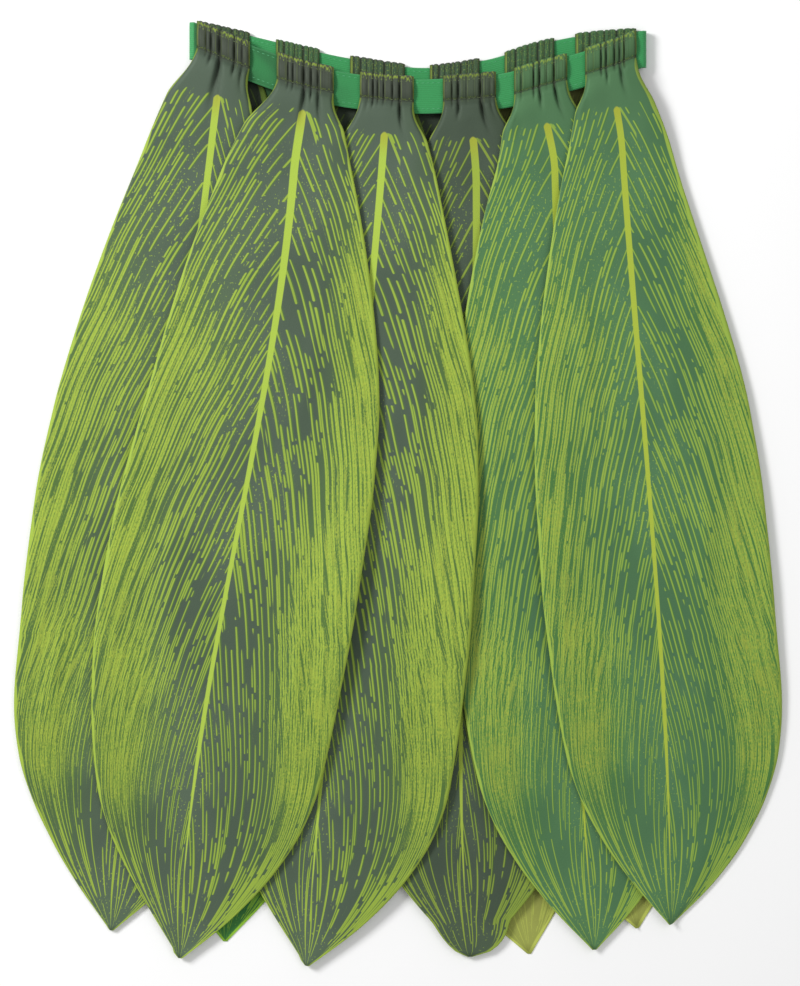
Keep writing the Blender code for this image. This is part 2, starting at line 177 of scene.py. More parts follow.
def band_stretch(x):
    """Length along Y of one unit across the sloping tape."""
    reach = 4 * MM
    slope = (band_line("front", x + reach) - band_line("front", x - reach)) / (2 * reach)
    return np.sqrt(1 + slope * slope)


def rib_line(leaf, share):
    """Midrib of a leaf, a smooth line through its four places."""
    stations = [0.0, 0.5, 0.8, 1.0]
    places = [leaf.rib_0, leaf.rib_50, leaf.rib_80, leaf.rib_100]
    total = 0.0
    for i, place in enumerate(places):
        term = place
        for j, station in enumerate(stations):
            if j != i:
                term = term * (share - station) / (stations[i] - station)
        total = total + term
    return total * MM


def cut_half_width(share):
    """Half the width of the flat cut."""
    return smooth_table([p.share for p in LEAF_CUT], [p.half_width for p in LEAF_CUT], share) * MM


def leaf_start(leaf):
    """Y of the lower stitching at the middle of the head."""
    x = leaf.head_x * MM
    return band_line(leaf.side, x) - CASING_DEPTH * band_stretch(x)


def half_width(leaf, across, share):
    """Distance from the midrib to the leaf's edge on one side."""
    left = across < 0
    top, low, tip, belly = (np.where(left, getattr(leaf, "left_" + part), getattr(leaf, "right_" + part))
                            for part in ("top", "low", "tip", "belly"))
    fullness = smooth_step((share - FULL_SHARE_START) / (FULL_SHARE_END - FULL_SHARE_START))
    bulge = smooth_step(1 - np.abs(share - BELLY_PLACE) / BELLY_REACH)
    factor = top + (low - top) * fullness + (tip - low) * share ** TIP_POWER + belly * bulge
    from_tip = (1 - share) * (leaf_start(leaf) / MM - leaf.tip_y)
    inside = np.clip(leaf.tip_round - from_tip, 0, leaf.tip_round)
    rounded = np.where(from_tip < leaf.tip_round, np.sqrt(leaf.tip_round ** 2 - inside ** 2), 0.0)
    parabola = np.sqrt(2 * min(leaf.tip_round, LEFT_TIP_ROUND) * np.maximum(from_tip, 0))
    rounded = np.where(left, np.where(from_tip < 2 * leaf.tip_round, parabola, 0), rounded)
    body = np.maximum(cut_half_width(share) / MM * factor, rounded)
    outer = (leaf.name == "back_leaf_1") & left | (leaf.name == "back_leaf_6") & ~left
    flare_end = np.where(outer | (leaf.side == "front"), FLARE_END, BACK_FLARE_END)
    flare = smooth_step(share / flare_end)
    return (leaf.half_head + (body - leaf.half_head) * flare) * MM


def leaf_plan(leaf, across, share):
    """Place of a point of the leaf in the picture plane."""
    to_head = 1 - smooth_step(share / (2 * FLARE_END))
    middle = rib_line(leaf, share) + (leaf.head_x - leaf.rib_0) * MM * to_head
    x = middle + across * half_width(leaf, across, share)
    head_x = (leaf.head_x + across * leaf.half_head) * MM
    head_y = band_line(leaf.side, head_x) - CASING_DEPTH * band_stretch(head_x)
    start = leaf_start(leaf)
    slope = (head_y - start) * (1 - smooth_step(share / HEAD_SLOPE_END))
    return x, start + (leaf.tip_y * MM - start) * share + slope


# %% [markdown]
# Gathers. On the real skirt the head of each leaf is crowded onto the tape, so it stands up in uneven puffs
# with sharp valleys between them. Some valleys run on below the stitching and fade out down the leaf. A cloth
# simulation would place them at random, so each valley is listed one by one, as a soft trough with its own
# place, depth and length.

# %% Valleys of the gathered heads
LONG_VALLEY = 24
SPREAD_RUN = 30
HEAD_EDGE_START = 0.86
HEAD_EDGE_DROP = 0.55


def by_leaf(kind, table):
    """Name the numbers in the rows of a table."""
    return {leaf: [kind(*row) for row in rows] for leaf, rows in table.items()}


Valley = namedtuple("Valley", "across depth length width")
HEAD_VALLEYS = by_leaf(Valley, {
    "front_leaf_1": [(-0.64, 0.5, 6, 0.6), (-0.46, 0.8, 10, 0.8), (-0.14, 1.0, 48, 1.2), (0.42, 1.0, 12, 0.8),
                     (0.72, 0.5, 24, 0.8)],
    "front_leaf_2": [(-0.60, 0.7, 7, 0.5), (-0.43, 0.8, 7, 0.5), (-0.05, 1.0, 30, 1.0), (0.21, 0.9, 12, 0.6),
                     (0.45, 0.7, 32, 0.8)],
    "front_leaf_3": [(-0.72, 0.3, 12, 0.9), (-0.51, 1.0, 8, 0.6), (-0.33, 0.7, 6, 0.5), (-0.12, 0.8, 6, 0.5),
                     (0.21, 0.7, 7, 0.6), (0.47, 1.0, 26, 0.8)],
    "front_leaf_4": [(-0.66, 0.8, 7, 0.5), (-0.43, 1.0, 16, 0.9), (-0.12, 0.35, 6, 0.5), (0.41, 1.0, 28, 1.0),
                     (0.78, 0.3, 20, 0.8)],
    "front_leaf_5": [(-0.74, 0.5, 8, 0.6), (-0.27, 0.9, 9, 0.6), (-0.05, 1.0, 18, 0.8), (0.22, 0.3, 6, 0.5),
                     (0.50, 1.0, 26, 0.8)],
    "front_leaf_6": [(-0.38, 1.0, 7, 0.6), (-0.18, 0.8, 14, 0.7), (0.14, 0.8, 6, 0.8), (0.34, 0.7, 26, 0.9),
                     (0.52, 0.9, 7, 0.6)],
})
BACK_VALLEYS = [Valley(across, depth, 20, width) for across, depth, width in (
    (-0.80, 0.6, 0.6), (-0.58, 1.0, 0.8), (-0.34, 0.6, 0.5), (-0.10, 0.8, 0.6),
    (0.06, 0.6, 0.5), (0.30, 1.0, 0.9), (0.55, 0.7, 0.6), (0.78, 0.6, 0.6))]


def valleys_of(leaf):
    """A front head has its own valleys, a back head a shifted copy of one plain set."""
    if leaf.side == "front":
        return HEAD_VALLEYS[leaf.name]
    shift = 0.05 * math.sin(leaf.head_x)
    return [v._replace(across=v.across + shift) for v in BACK_VALLEYS]


def puff_height(leaf, across, half, run, pinch):
    """Height of the gathers, from 0 in the deepest valley to 1 on a puff."""
    height = np.ones_like(across + run)
    for valley in valleys_of(leaf):
        distance = (across - valley.across) * half / MM
        spread = valley.width * (1 + np.maximum(run, 0) / SPREAD_RUN)
        uneven = np.where(distance < 0, 0.8, 1.5)
        spread = spread * np.where((valley.length > LONG_VALLEY) & (run > 0), uneven, 1.0)
        fade = 1 - smooth_step(run / valley.length)
        height = height - valley.depth * fade * np.exp(-(distance / spread) ** 2)
    near_edge = smooth_step((np.abs(across) - HEAD_EDGE_START) / (1 - HEAD_EDGE_START))
    return np.clip(height * (1 - HEAD_EDGE_DROP * near_edge), 0, 1) * pinch


print("valleys:", sum(len(v) for v in HEAD_VALLEYS.values()))

# %% [markdown]
# Heights. A ray dropped on each leaf's own solid gives its height. The facets of the solid are then smoothed
# away, and a height map of the shells already laid keeps each new shell just above the ones that it lies on.

# %% Height map of the laid shells
MAP_CELL = 2 * MM
MAP_REACH = np.array([0.28, 0.33])
MAP_MARGIN = 2


class HeightMap:
    """Highest shell laid down so far, over the picture plane."""

    def __init__(self):
        self.shape = tuple((2 * MAP_REACH[::-1] / MAP_CELL).astype(int))
        self.top = np.zeros(self.shape)

    def cells(self, x, y):
        column = np.clip(((x + MAP_REACH[0]) / MAP_CELL).astype(int), 0, self.shape[1] - 1)
        row = np.clip(((y + MAP_REACH[1]) / MAP_CELL).astype(int), 0, self.shape[0] - 1)
        return row, column

    def add(self, points):
        """Lay a sheet of points down, read between its points too."""
        for s in (0, 0.25, 0.5, 0.75):
            for t in (0, 0.25, 0.5, 0.75):
                mixed = ((1 - s) * (1 - t) * points[:-1, :-1] + s * (1 - t) * points[1:, :-1]
                         + (1 - s) * t * points[:-1, 1:] + s * t * points[1:, 1:])
                row, column = self.cells(mixed[..., 0], mixed[..., 1])
                np.maximum.at(self.top, (row, column), mixed[..., 2] + SHELL / 2)

    def required(self, x, y):
        """Lowest height of a shell's middle at x, y."""
        padded = np.pad(self.top, MAP_MARGIN, mode="edge")
        rows, columns = self.shape
        steps = range(2 * MAP_MARGIN + 1)
        around = np.max([padded[i:i + rows, j:j + columns] for i in steps for j in steps], axis=0)
        below = around[self.cells(x, y)]
        return np.where(below > 0, below + SHELL_GAP + SHELL / 2, SHELL / 2)


def blur(field, across_reach, along_reach, passes):
    """Soften a grid of heights with running means."""
    for _ in range(passes):
        for axis, reach in ((1, across_reach), (0, along_reach)):
            width = [(0, 0), (0, 0)]
            width[axis] = (reach, reach)
            padded = np.pad(field, width, mode="edge")
            total = sum(np.take(padded, range(k, k + field.shape[axis]), axis=axis)
                        for k in range(2 * reach + 1))
            field = total / (2 * reach + 1)
    return field


laid = HeightMap()
print("height map:", laid.shape)

# %% [markdown]
# The solids carry coarse gathers of their own. They are taken off the heights read from a solid, and the
# finer ones are put there instead.

# %% Read a solid's height


def solid_gather(across, share):
    """The gathers that the solid has below its stitching."""
    columns = np.linspace(-1, 1, 13)
    crests = np.zeros(13)
    crests[1::2] = [0.8, 1.0, 0.65, 0.9, 0.7, 1.0]
    fade = 1 - smooth_step(share / GATHER_END)
    return np.interp(across, columns, crests) * fade * SOLID_GATHER


def solid_height(name, x, y):
    """Top of a node's own solid at each point."""
    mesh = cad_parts[name].data
    tree = BVHTree.FromPolygons([v.co for v in mesh.vertices], [p.vertices for p in mesh.polygons])
    heights = np.zeros_like(x)
    for index in np.ndindex(x.shape):
        start = Vector((x[index], y[index], 0.1))
        hit = tree.ray_cast(start, Vector((0, 0, -1)))[0]
        if hit is None:
            hit = tree.find_nearest(Vector((x[index], y[index], heights[max(index[0] - 1, 0), index[1]])))[0]
        heights[index] = hit.z
    return heights


print("solid of a leaf:", len(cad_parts[LEAVES[0].name].data.polygons), "faces")

# %% [markdown]
# The head of a leaf: rows that run up the flap behind the tape, round the fold and down the casing in front.

# %% Rows of a head
HEAD_TUCK = 0.15 * MM
FOLD_CREST = 0.45
RUFFLE = 0.6 * MM
SEAM_PINCH = 0.15
HeadRow = namedtuple("HeadRow", "part drop turn")
HEAD_ROWS = [HeadRow("flap", drop, 0.0) for drop in np.linspace(FLAP_LENGTH, 1.0 * MM, 9)]
HEAD_ROWS += [HeadRow("fold", 0.0, math.radians(turn)) for turn in range(-90, 91, 30)]
HEAD_ROWS += [HeadRow("outer", drop, 0.0) for drop in np.linspace(0.8 * MM, CASING_DEPTH, 12, endpoint=False)]


def tape_under(leaf):
    """Height of the tape under a head, and 1 or -1 for the way the casing faces."""
    return (FRONT_TAPE_HEIGHT, 1) if leaf.side == "front" else (BACK_TAPE_HEIGHT, -1)


def casing_pinch(drop):
    """How far the puffs rise between the two rows of stitching."""
    between = (drop - TOP_STITCH_DEPTH) / (CASING_DEPTH - TOP_STITCH_DEPTH)
    return SEAM_PINCH + (1 - SEAM_PINCH) * np.sin(math.pi * np.clip(between, 0, 1)) ** 0.7


def head_points(leaf, across):
    """Rows of points of the head, folded over the tape, with their distance along the cloth."""
    tape_height, up = tape_under(leaf)
    x = (leaf.head_x + across * leaf.half_head) * MM
    line = band_line(leaf.side, x)
    puffs = puff_height(leaf, across, leaf.half_head * MM, np.zeros_like(across), 1.0)
    fold_length = math.pi * FOLD_RADIUS
    points, runs = [], []
    for part, drop, turn in HEAD_ROWS:
        if part == "fold":
            radius = FOLD_RADIUS - HEAD_TUCK + FOLD_CREST * puffs * FLAP_GATHER
            y = line + HEADER_EXTRA + RUFFLE * (puffs - 0.6) + radius * math.cos(turn)
            z = tape_height + up * radius * math.sin(turn)
            run = -CASING_DEPTH - fold_length * (0.5 - turn / math.pi)
        else:
            outer = 1 if part == "outer" else -1
            full = FRONT_GATHER if part == "outer" else FLAP_GATHER
            lift = puffs * casing_pinch(drop) * full if outer == up else 0.0
            y = line - drop * band_stretch(x)
            z = tape_height + up * outer * (FOLD_RADIUS - HEAD_TUCK) + lift
            run = drop - CASING_DEPTH if part == "outer" else -CASING_DEPTH - fold_length - drop
        points.append(np.stack([x, y, z + 0 * x], axis=1))
        runs.append(run)
    return np.array(points), np.array(runs)


print("rows of a head:", len(HEAD_ROWS))

# %% [markdown]
# Creases and lifted edges. The leaves have been packed, so their cloth keeps a few long shallow folds, and
# some edges stand off the leaf below, which draws the dark line beside them.

# %% Creases and lifted edges
LIFT_START = 0.55
Crease = namedtuple("Crease", "across share lean length width depth")
CREASES = by_leaf(Crease, {
    "front_leaf_1": [(-0.35, 0.52, 0.10, 0.16, 5.0, 0.9), (-0.70, 0.70, -0.08, 0.12, 6.0, 1.1)],
    "front_leaf_2": [(0.40, 0.30, -0.12, 0.14, 5.0, 0.8), (0.62, 0.66, 0.10, 0.14, 6.0, 1.4),
                     (-0.45, 0.58, 0.15, 0.16, 7.0, 1.0)],
    "front_leaf_3": [(0.50, 0.36, 0.10, 0.15, 6.0, 1.0), (0.55, 0.72, -0.08, 0.10, 6.0, 1.1)],
    "front_leaf_4": [(0.20, 0.88, 0.10, 0.06, 6.0, 0.8)],
    "front_leaf_5": [(-0.60, 0.42, 0.08, 0.16, 6.0, 1.1), (-0.40, 0.76, -0.10, 0.10, 6.0, 1.0)],
    "front_leaf_6": [(-0.55, 0.34, 0.10, 0.16, 6.0, 1.1), (0.45, 0.55, -0.12, 0.14, 7.0, 1.2),
                     (-0.30, 0.78, 0.10, 0.10, 6.0, 0.9), (0.75, 0.74, 0.05, 0.08, 5.0, 1.2)],
})
Lift = namedtuple("Lift", "side share reach height")
EDGE_LIFTS = by_leaf(Lift, {
    "front_leaf_1": [(-1, 0.60, 0.36, 3.0)],
    "front_leaf_2": [(1, 0.58, 0.34, 5.5), (-1, 0.50, 0.40, 2.0)],
    "front_leaf_3": [(1, 0.60, 0.34, 4.0)],
    "front_leaf_5": [(-1, 0.80, 0.16, 2.0)],
    "front_leaf_6": [(-1, 0.60, 0.40, 2.5), (1, 0.62, 0.36, 3.0)],
})


def edge_lifts(leaf, across, share):
    """Edges that stand off the cloth below them."""
    total = np.zeros_like(share)
    for lift in EDGE_LIFTS.get(leaf.name, ()):
        rise = smooth_step(1 - np.abs(share - lift.share) / lift.reach)
        total += lift.height * MM * rise * smooth_step((across * lift.side - LIFT_START) / (1 - LIFT_START))
    return total


def creases(leaf, across, share):
    """Shallow creases of the body, listed one by one, as soft ridges."""
    total = np.zeros_like(share)
    half = half_width(leaf, across, share) / MM
    for crease in CREASES.get(leaf.name, ()):
        down = (share - crease.share) / crease.length
        distance = (across - crease.across - crease.lean * down) * half / crease.width
        total += crease.depth * MM * smooth_step(1 - np.abs(down)) * np.exp(-distance ** 2)
    return total


print("creases:", sum(len(rows) for rows in CREASES.values()))

# %% [markdown]
# Below the stitching the shell follows its solid. It is kept above what lies under it, smoothed, and given
# its gathers, creases and lifted edges last.

# %% Rows of the body
BODY_ROWS = {"front": (52, 140), "back": (20, 70)}
COLUMNS = {"front": 61, "back": 41}
DENSE_END = 0.12
PUFF_RISE = 6 * MM
PUFF_SWELL = 0.55
SWELL_START = 8 * MM
SWELL_FADE = 26 * MM
HEAD_BLEND_END = 0.03
HELD_END = 0.012
SETTLE_PASSES = 6


def body_shares(side):
    """Rows below the stitching, closer together near the head."""
    dense, plain = BODY_ROWS[side]
    near = np.linspace(0, DENSE_END, dense, endpoint=False)
    return np.concatenate([near, np.linspace(DENSE_END, 1, plain)])


def body_points(leaf, across):
    """Rows below the stitching, on the leaf's solid and above the shells laid before."""
    grid_across, grid_share = np.meshgrid(across, body_shares(leaf.side))
    x, y = leaf_plan(leaf, grid_across, grid_share)
    run = grid_share * LEAF_LENGTH
    height = solid_height(leaf.name, x, y) - CLOTH_WALL / 2 - SHELL_DROP
    gathers = np.zeros_like(height)
    if leaf.side == "front":
        height = height - solid_gather(grid_across, grid_share)
        half = half_width(leaf, grid_across, grid_share)
        fade = 1 - smooth_step(grid_share / GATHER_END)
        rise = smooth_step(run / PUFF_RISE)
        swell = PUFF_SWELL * rise * (1 - smooth_step((run - SWELL_START) / SWELL_FADE))
        pinch = SEAM_PINCH + (1 - SEAM_PINCH) * rise + swell
        gathers = puff_height(leaf, grid_across, half, run / MM, pinch) * fade * FRONT_GATHER
        gathers = gathers + creases(leaf, grid_across, grid_share) + edge_lifts(leaf, grid_across, grid_share)
    tape_height, up = tape_under(leaf)
    head_level = tape_height + up * (FOLD_RADIUS - HEAD_TUCK)
    soft = blur(height, across_reach=3, along_reach=9, passes=3)
    soft = head_level + (soft - head_level) * smooth_step(grid_share / HEAD_BLEND_END)
    held = grid_share < HELD_END
    required = np.where(held, 0, laid.required(x, y))
    z = np.maximum(soft, required)
    for _ in range(SETTLE_PASSES):
        z = np.where(held, z, np.maximum(required, blur(z, across_reach=1, along_reach=1, passes=1)))
    return np.stack([x, y, z + gathers], axis=2), run


print("rows of a front leaf:", len(HEAD_ROWS) + sum(BODY_ROWS["front"]))

# %% [markdown]
# The mesh of a shell starts as one of Blender's own grids, whose points then move to the leaf. It carries
# three maps: `leaf` holds the share across and along, which places the print, `cut` holds the flat cut in
# metres, which keeps the weave at its real size, and `folds` holds painted shade, deep in the gathers and
# inside the waist on the back leaves, and half the width of the cut there.

# %% Make a shell
PLAIN_SHIFT = 6.0
PRINT_SHIFT = {"front_leaf_1": 8.1, "front_leaf_2": 0.0, "front_leaf_3": 5.6, "front_leaf_4": 9.2,
               "front_leaf_5": 8.4, "front_leaf_6": 10.9}
# Painted shade in the gather valleys fades out over this length down the leaf; the back leaves are painted
# darker inside the waist.
FOLD_SHADE = 60 * MM
PAINTED_INSIDE_SHADE = 0.9
PAINTED_INSIDE_SHADE_END = 0.16


def make_piece(name, bm):
    """New object with the mesh of bm."""
    mesh = bpy.data.meshes.new(name)
    bm.to_mesh(mesh)
    bm.free()
    piece = bpy.data.objects.new(name, mesh)
    bpy.context.scene.collection.objects.link(piece)
    return piece


def build_grid(name, points, maps):
    """Grid mesh moved to its points, with its maps."""
    rows, columns = points.shape[:2]
    bm = bmesh.new()
    bmesh.ops.create_grid(bm, x_segments=columns - 1, y_segments=rows - 1, size=1)
    layers = [(bm.loops.layers.uv.new(key), values) for key, values in maps.items()]
    place = {}
    for vertex in bm.verts:
        column = round((vertex.co.x + 1) / 2 * (columns - 1))
        row = round((vertex.co.y + 1) / 2 * (rows - 1))
        place[vertex.index] = (row, column)
        vertex.co = points[row, column]
    for face in bm.faces:
        face.smooth = True
        for loop in face.loops:
            where = place[loop.vert.index]
            for layer, values in layers:
                loop[layer].uv = values[where]
    bm.normal_update()
    if sum(face.normal.z * face.calc_area() for face in bm.faces) < 0:
        bmesh.ops.reverse_faces(bm, faces=bm.faces[:])
    return make_piece(name, bm)


def add_thickness(piece, thickness, reverse_slot=0):
    """Give an open sheet its two sides."""
    wall = piece.modifiers.new("cloth", "SOLIDIFY")
    wall.thickness = thickness
    wall.offset = 0.0
    wall.material_offset = reverse_slot


def lay_tape():
    """Put the front run of the tape into the height map."""
    x = np.linspace(FRONT_BAND[0].x, FRONT_BAND[-1].x, 300) * MM
    for drop in np.linspace(0, TAPE_WIDTH, 23):
        cells = laid.cells(x, band_line("front", x) - drop * band_stretch(x))
        np.maximum.at(laid.top, cells, FRONT_TAPE_HEIGHT + TAPE_WALL / 2)


def shell_maps(leaf, across, run):
    """The three maps of a shell."""
    share = run / LEAF_LENGTH
    below = np.clip(share, 0, 1)
    shift = PRINT_SHIFT.get(leaf.name, PLAIN_SHIFT) * MM / LEAF_LENGTH
    head_half, tip_half = LEAF_CUT[0].half_width * MM, LEAF_CUT[-1].half_width * MM
    flat_half = np.where(share > 0, np.maximum(cut_half_width(below), tip_half), head_half)
    # Painted shade: deepest in the gather valleys, fading down the leaf.
    folds = 1 - puff_height(leaf, across, half_width(leaf, across, below), run / MM, 1.0)
    folds = folds * (1 - smooth_step(run / FOLD_SHADE))
    # Painted shade inside the waist, near the head of each back leaf.
    if leaf.side == "back":
        inside = (run > 0) * PAINTED_INSIDE_SHADE * (1 - smooth_step(share / PAINTED_INSIDE_SHADE_END))
        folds = np.maximum(folds, inside)
    return {"leaf": np.stack([across, share - shift], axis=2),
            "cut": np.stack([across * flat_half, run], axis=2),
            "folds": np.stack([np.clip(folds, 0, 1), flat_half / (100 * MM)], axis=2)}


FIRST_FRONT = next(leaf for leaf in LEAVES if leaf.side == "front")
leaf_shells = {}
stitch_rows = []
for leaf in LEAVES:
    if leaf is FIRST_FRONT:
        lay_tape()
    across = np.linspace(-1, 1, COLUMNS[leaf.side])
    head, head_runs = head_points(leaf, across)
    body, body_run = body_points(leaf, across)
    laid.add(body)
    run = np.concatenate([head_runs[:, None] + 0 * across[None, :], body_run])
    maps = shell_maps(leaf, across[None, :] + 0 * run, run)
    leaf_shells[leaf.name] = build_grid("cloth_" + leaf.name, np.concatenate([head, body]), maps)
    stitch_rows.append((leaf, head, body[0]))
print("shells:", len(leaf_shells), "points:", sum(len(p.data.vertices) for p in leaf_shells.values()))

# %% [markdown]
# Shader maths. A print is easier to read as formulas than as a web of nodes, so one small class wraps a
# socket and lets Python's operators add the Math nodes.

# %% Shader helpers
SEED_STEP = 13.7


def math_method(operation, reflected=False):
    """Method of Value that adds one Math node; reflected puts the other term first."""
    def method(self, *others):
        terms = (*others, self) if reflected else (self, *others)
        node = self.sheet.add("ShaderNodeMath", {"operation": operation}, *terms)
        return Value(self.sheet, node.outputs[0])
    return method


class Value:
    """A number that changes over the surface."""

    def __init__(self, sheet, socket):
        self.sheet = sheet
        self.socket = socket

    __add__, __radd__ = math_method("ADD"), math_method("ADD", True)
    __sub__, __rsub__ = math_method("SUBTRACT"), math_method("SUBTRACT", True)
    __mul__, __rmul__ = math_method("MULTIPLY"), math_method("MULTIPLY", True)
    __truediv__, __rtruediv__ = math_method("DIVIDE"), math_method("DIVIDE", True)
    __abs__, sign, floor = math_method("ABSOLUTE"), math_method("SIGN"), math_method("FLOOR")
    exp, log, sqrt = math_method("EXPONENT"), math_method("LOGARITHM"), math_method("SQRT")
    most, least = math_method("MAXIMUM"), math_method("MINIMUM")

    def ease(self, low, high):
        """0 below low, 1 above high, smooth between."""
        settings = {"interpolation_type": "SMOOTHSTEP", "clamp": True}
        node = self.sheet.add("ShaderNodeMapRange", settings, self, low, high, 0.0, 1.0)
        return Value(self.sheet, node.outputs[0])

    def fade(self, low, high):
        """1 below low, 0 above high."""
        return 1 - self.ease(low, high)


class Sheet:
    """The node tree of one material."""

    def __init__(self, name):
        self.material = bpy.data.materials.new(name)
        self.material.use_nodes = True
        self.tree = self.material.node_tree
        self.shader = self.tree.nodes["Principled BSDF"]

    def add(self, kind, settings, *sockets, **named):
        """Add a node: its settings first, then the values or links of its sockets."""
        node = self.tree.nodes.new(kind)
        for key, value in settings.items():
            setattr(node, key, value)
        for index, value in enumerate(sockets):
            self.feed(node.inputs[index], value)
        for key, value in named.items():
            self.feed(node.inputs[key.replace("_", " ")], value)
        return node

    def feed(self, socket, value):
        if isinstance(value, Value):
            self.tree.links.new(value.socket, socket)
        elif isinstance(value, bpy.types.NodeSocket):
            self.tree.links.new(value, socket)
        elif isinstance(value, tuple) and len(value) == 3 and socket.type == "RGBA":
            socket.default_value = (*value, 1)
        else:
            socket.default_value = value

    def uv(self, name):
        """The two numbers of a map."""
        node = self.add("ShaderNodeUVMap", {"uv_map": name})
        parts = self.add("ShaderNodeSeparateXYZ", {}, node.outputs[0])
        return Value(self, parts.outputs[0]), Value(self, parts.outputs[1])

    def noise(self, x, y, seed=0, detail=0.0, roughness=0.5):
        """Smooth noise, about 0.5, whose features are one unit wide."""
        place = self.add("ShaderNodeCombineXYZ", {}, x + seed * SEED_STEP, y, 0.0)
        node = self.add("ShaderNodeTexNoise", {"noise_dimensions": "2D"}, Vector=place.outputs[0], Scale=1.0,
                        Detail=detail, Roughness=roughness)
        return Value(self, node.outputs["Fac"])

    def ripple(self, along):
        """Smooth noise along one number."""
        node = self.add("ShaderNodeTexNoise", {"noise_dimensions": "1D"}, W=along, Scale=1.0, Detail=0.0)
        return Value(self, node.outputs["Fac"])

    def random(self, number):
        """One random value from 0 to 1 for each number."""
        node = self.add("ShaderNodeTexWhiteNoise", {"noise_dimensions": "1D"}, W=number)
        return Value(self, node.outputs["Value"])

    def mix(self, share, first, second):
        """Colour mix."""
        node = self.add("ShaderNodeMix", {"data_type": "RGBA"})
        self.feed(node.inputs[0], share)
        self.feed(node.inputs[6], first)
        self.feed(node.inputs[7], second)
        return node.outputs[2]

    def paint(self, ground, *layers):
        """Lay colours over a ground, each by its own share."""
        for share, colour in layers:
            ground = self.mix(share, ground, colour)
        return ground

    def bump(self, height, strength, distance):
        node = self.add("ShaderNodeBump", {}, Strength=strength, Distance=distance, Height=height)
        self.feed(self.shader.inputs["Normal"], node.outputs[0])

    def finish(self, colour, roughness, **constants):
        """Colour and roughness may vary, the rest is set on the shader."""
        self.feed(self.shader.inputs["Base Color"], colour)
        self.feed(self.shader.inputs["Roughness"], roughness)
        for key, value in constants.items():
            self.shader.inputs[key.replace("_", " ")].default_value = value
        return self.material


def srgb(code):
    """A given colour, as the shader wants it."""
    parts = [int(code[i:i + 2], 16) / 255 for i in (1, 3, 5)]
    return tuple(c / 12.92 if c <= 0.04045 else ((c + 0.055) / 1.055) ** 2.4 for c in parts)


print("a green in the shader:", [round(c, 3) for c in srgb("#536253")])

# %% [markdown]
# The print. It is the common sight of a ti leaf: a lime midrib, side veins that leave it at an angle and bend
# along the edge, and brushed lime between them towards the edges. Each vein is a level line of one formula,
# its start on the midrib. Stripes of that number are the veins, noise that runs along them breaks them into
# dashes, and a few soft patches, listed one by one, say where the lime is brushed in. Nothing is copied from
# a picture.

# %% Leaf print
VEIN_FALL = 1.7
VEIN_SPREAD = 0.74
VEIN_PITCH = 12.0
VEIN_WANDER = 7
FULL_HALF = 79.0
RIB_START = 16.2
LENGTH_MM = LEAF_LENGTH / MM
RIB_TOP = srgb("#a2a636")
FLAP_GREEN = srgb("#40693f")
# Colour of the painted shade in the gathers, the tucks and inside the waist.
PAINTED_FOLD_SHADE = (0.012, 0.016, 0.010)
Patch = namedtuple("Patch", "across share reach_across reach_share strength")
BRUSHED = [Patch(*row) for row in (
    (0.92, 0.42, 0.34, 0.24, 0.75), (0.55, 0.63, 0.26, 0.12, 0.60), (0.90, 0.72, 0.30, 0.16, 0.60),
    (-0.58, 0.70, 0.30, 0.13, 0.60), (-0.85, 0.46, 0.34, 0.24, 0.55), (-0.40, 0.36, 0.18, 0.10, 0.30),
    (0.84, 0.78, 0.22, 0.13, 0.60), (-0.80, 0.80, 0.24, 0.08, 0.50), (0.92, 0.22, 0.30, 0.09, 0.35))]


def vein_field(across, share, half_mm):
    """Start of the vein through each point, in mm down the midrib, and the room between two veins there."""
    held = half_mm.most(share.ease(0.55, 0.65) * FULL_HALF)
    fall = (share * -VEIN_FALL).exp()
    bend = 1 + 0.275 * across + 0.1 * across * across
    total = fall + across * held * bend * (VEIN_FALL / (VEIN_SPREAD * LENGTH_MM))
    start = total.log(math.e) * (-LENGTH_MM / VEIN_FALL)
    slope = (1 + 0.55 * across + 0.3 * across * across) * held / half_mm * (1 / VEIN_SPREAD)
    room = total * VEIN_PITCH / (fall * fall + slope * slope).sqrt()
    return start, room


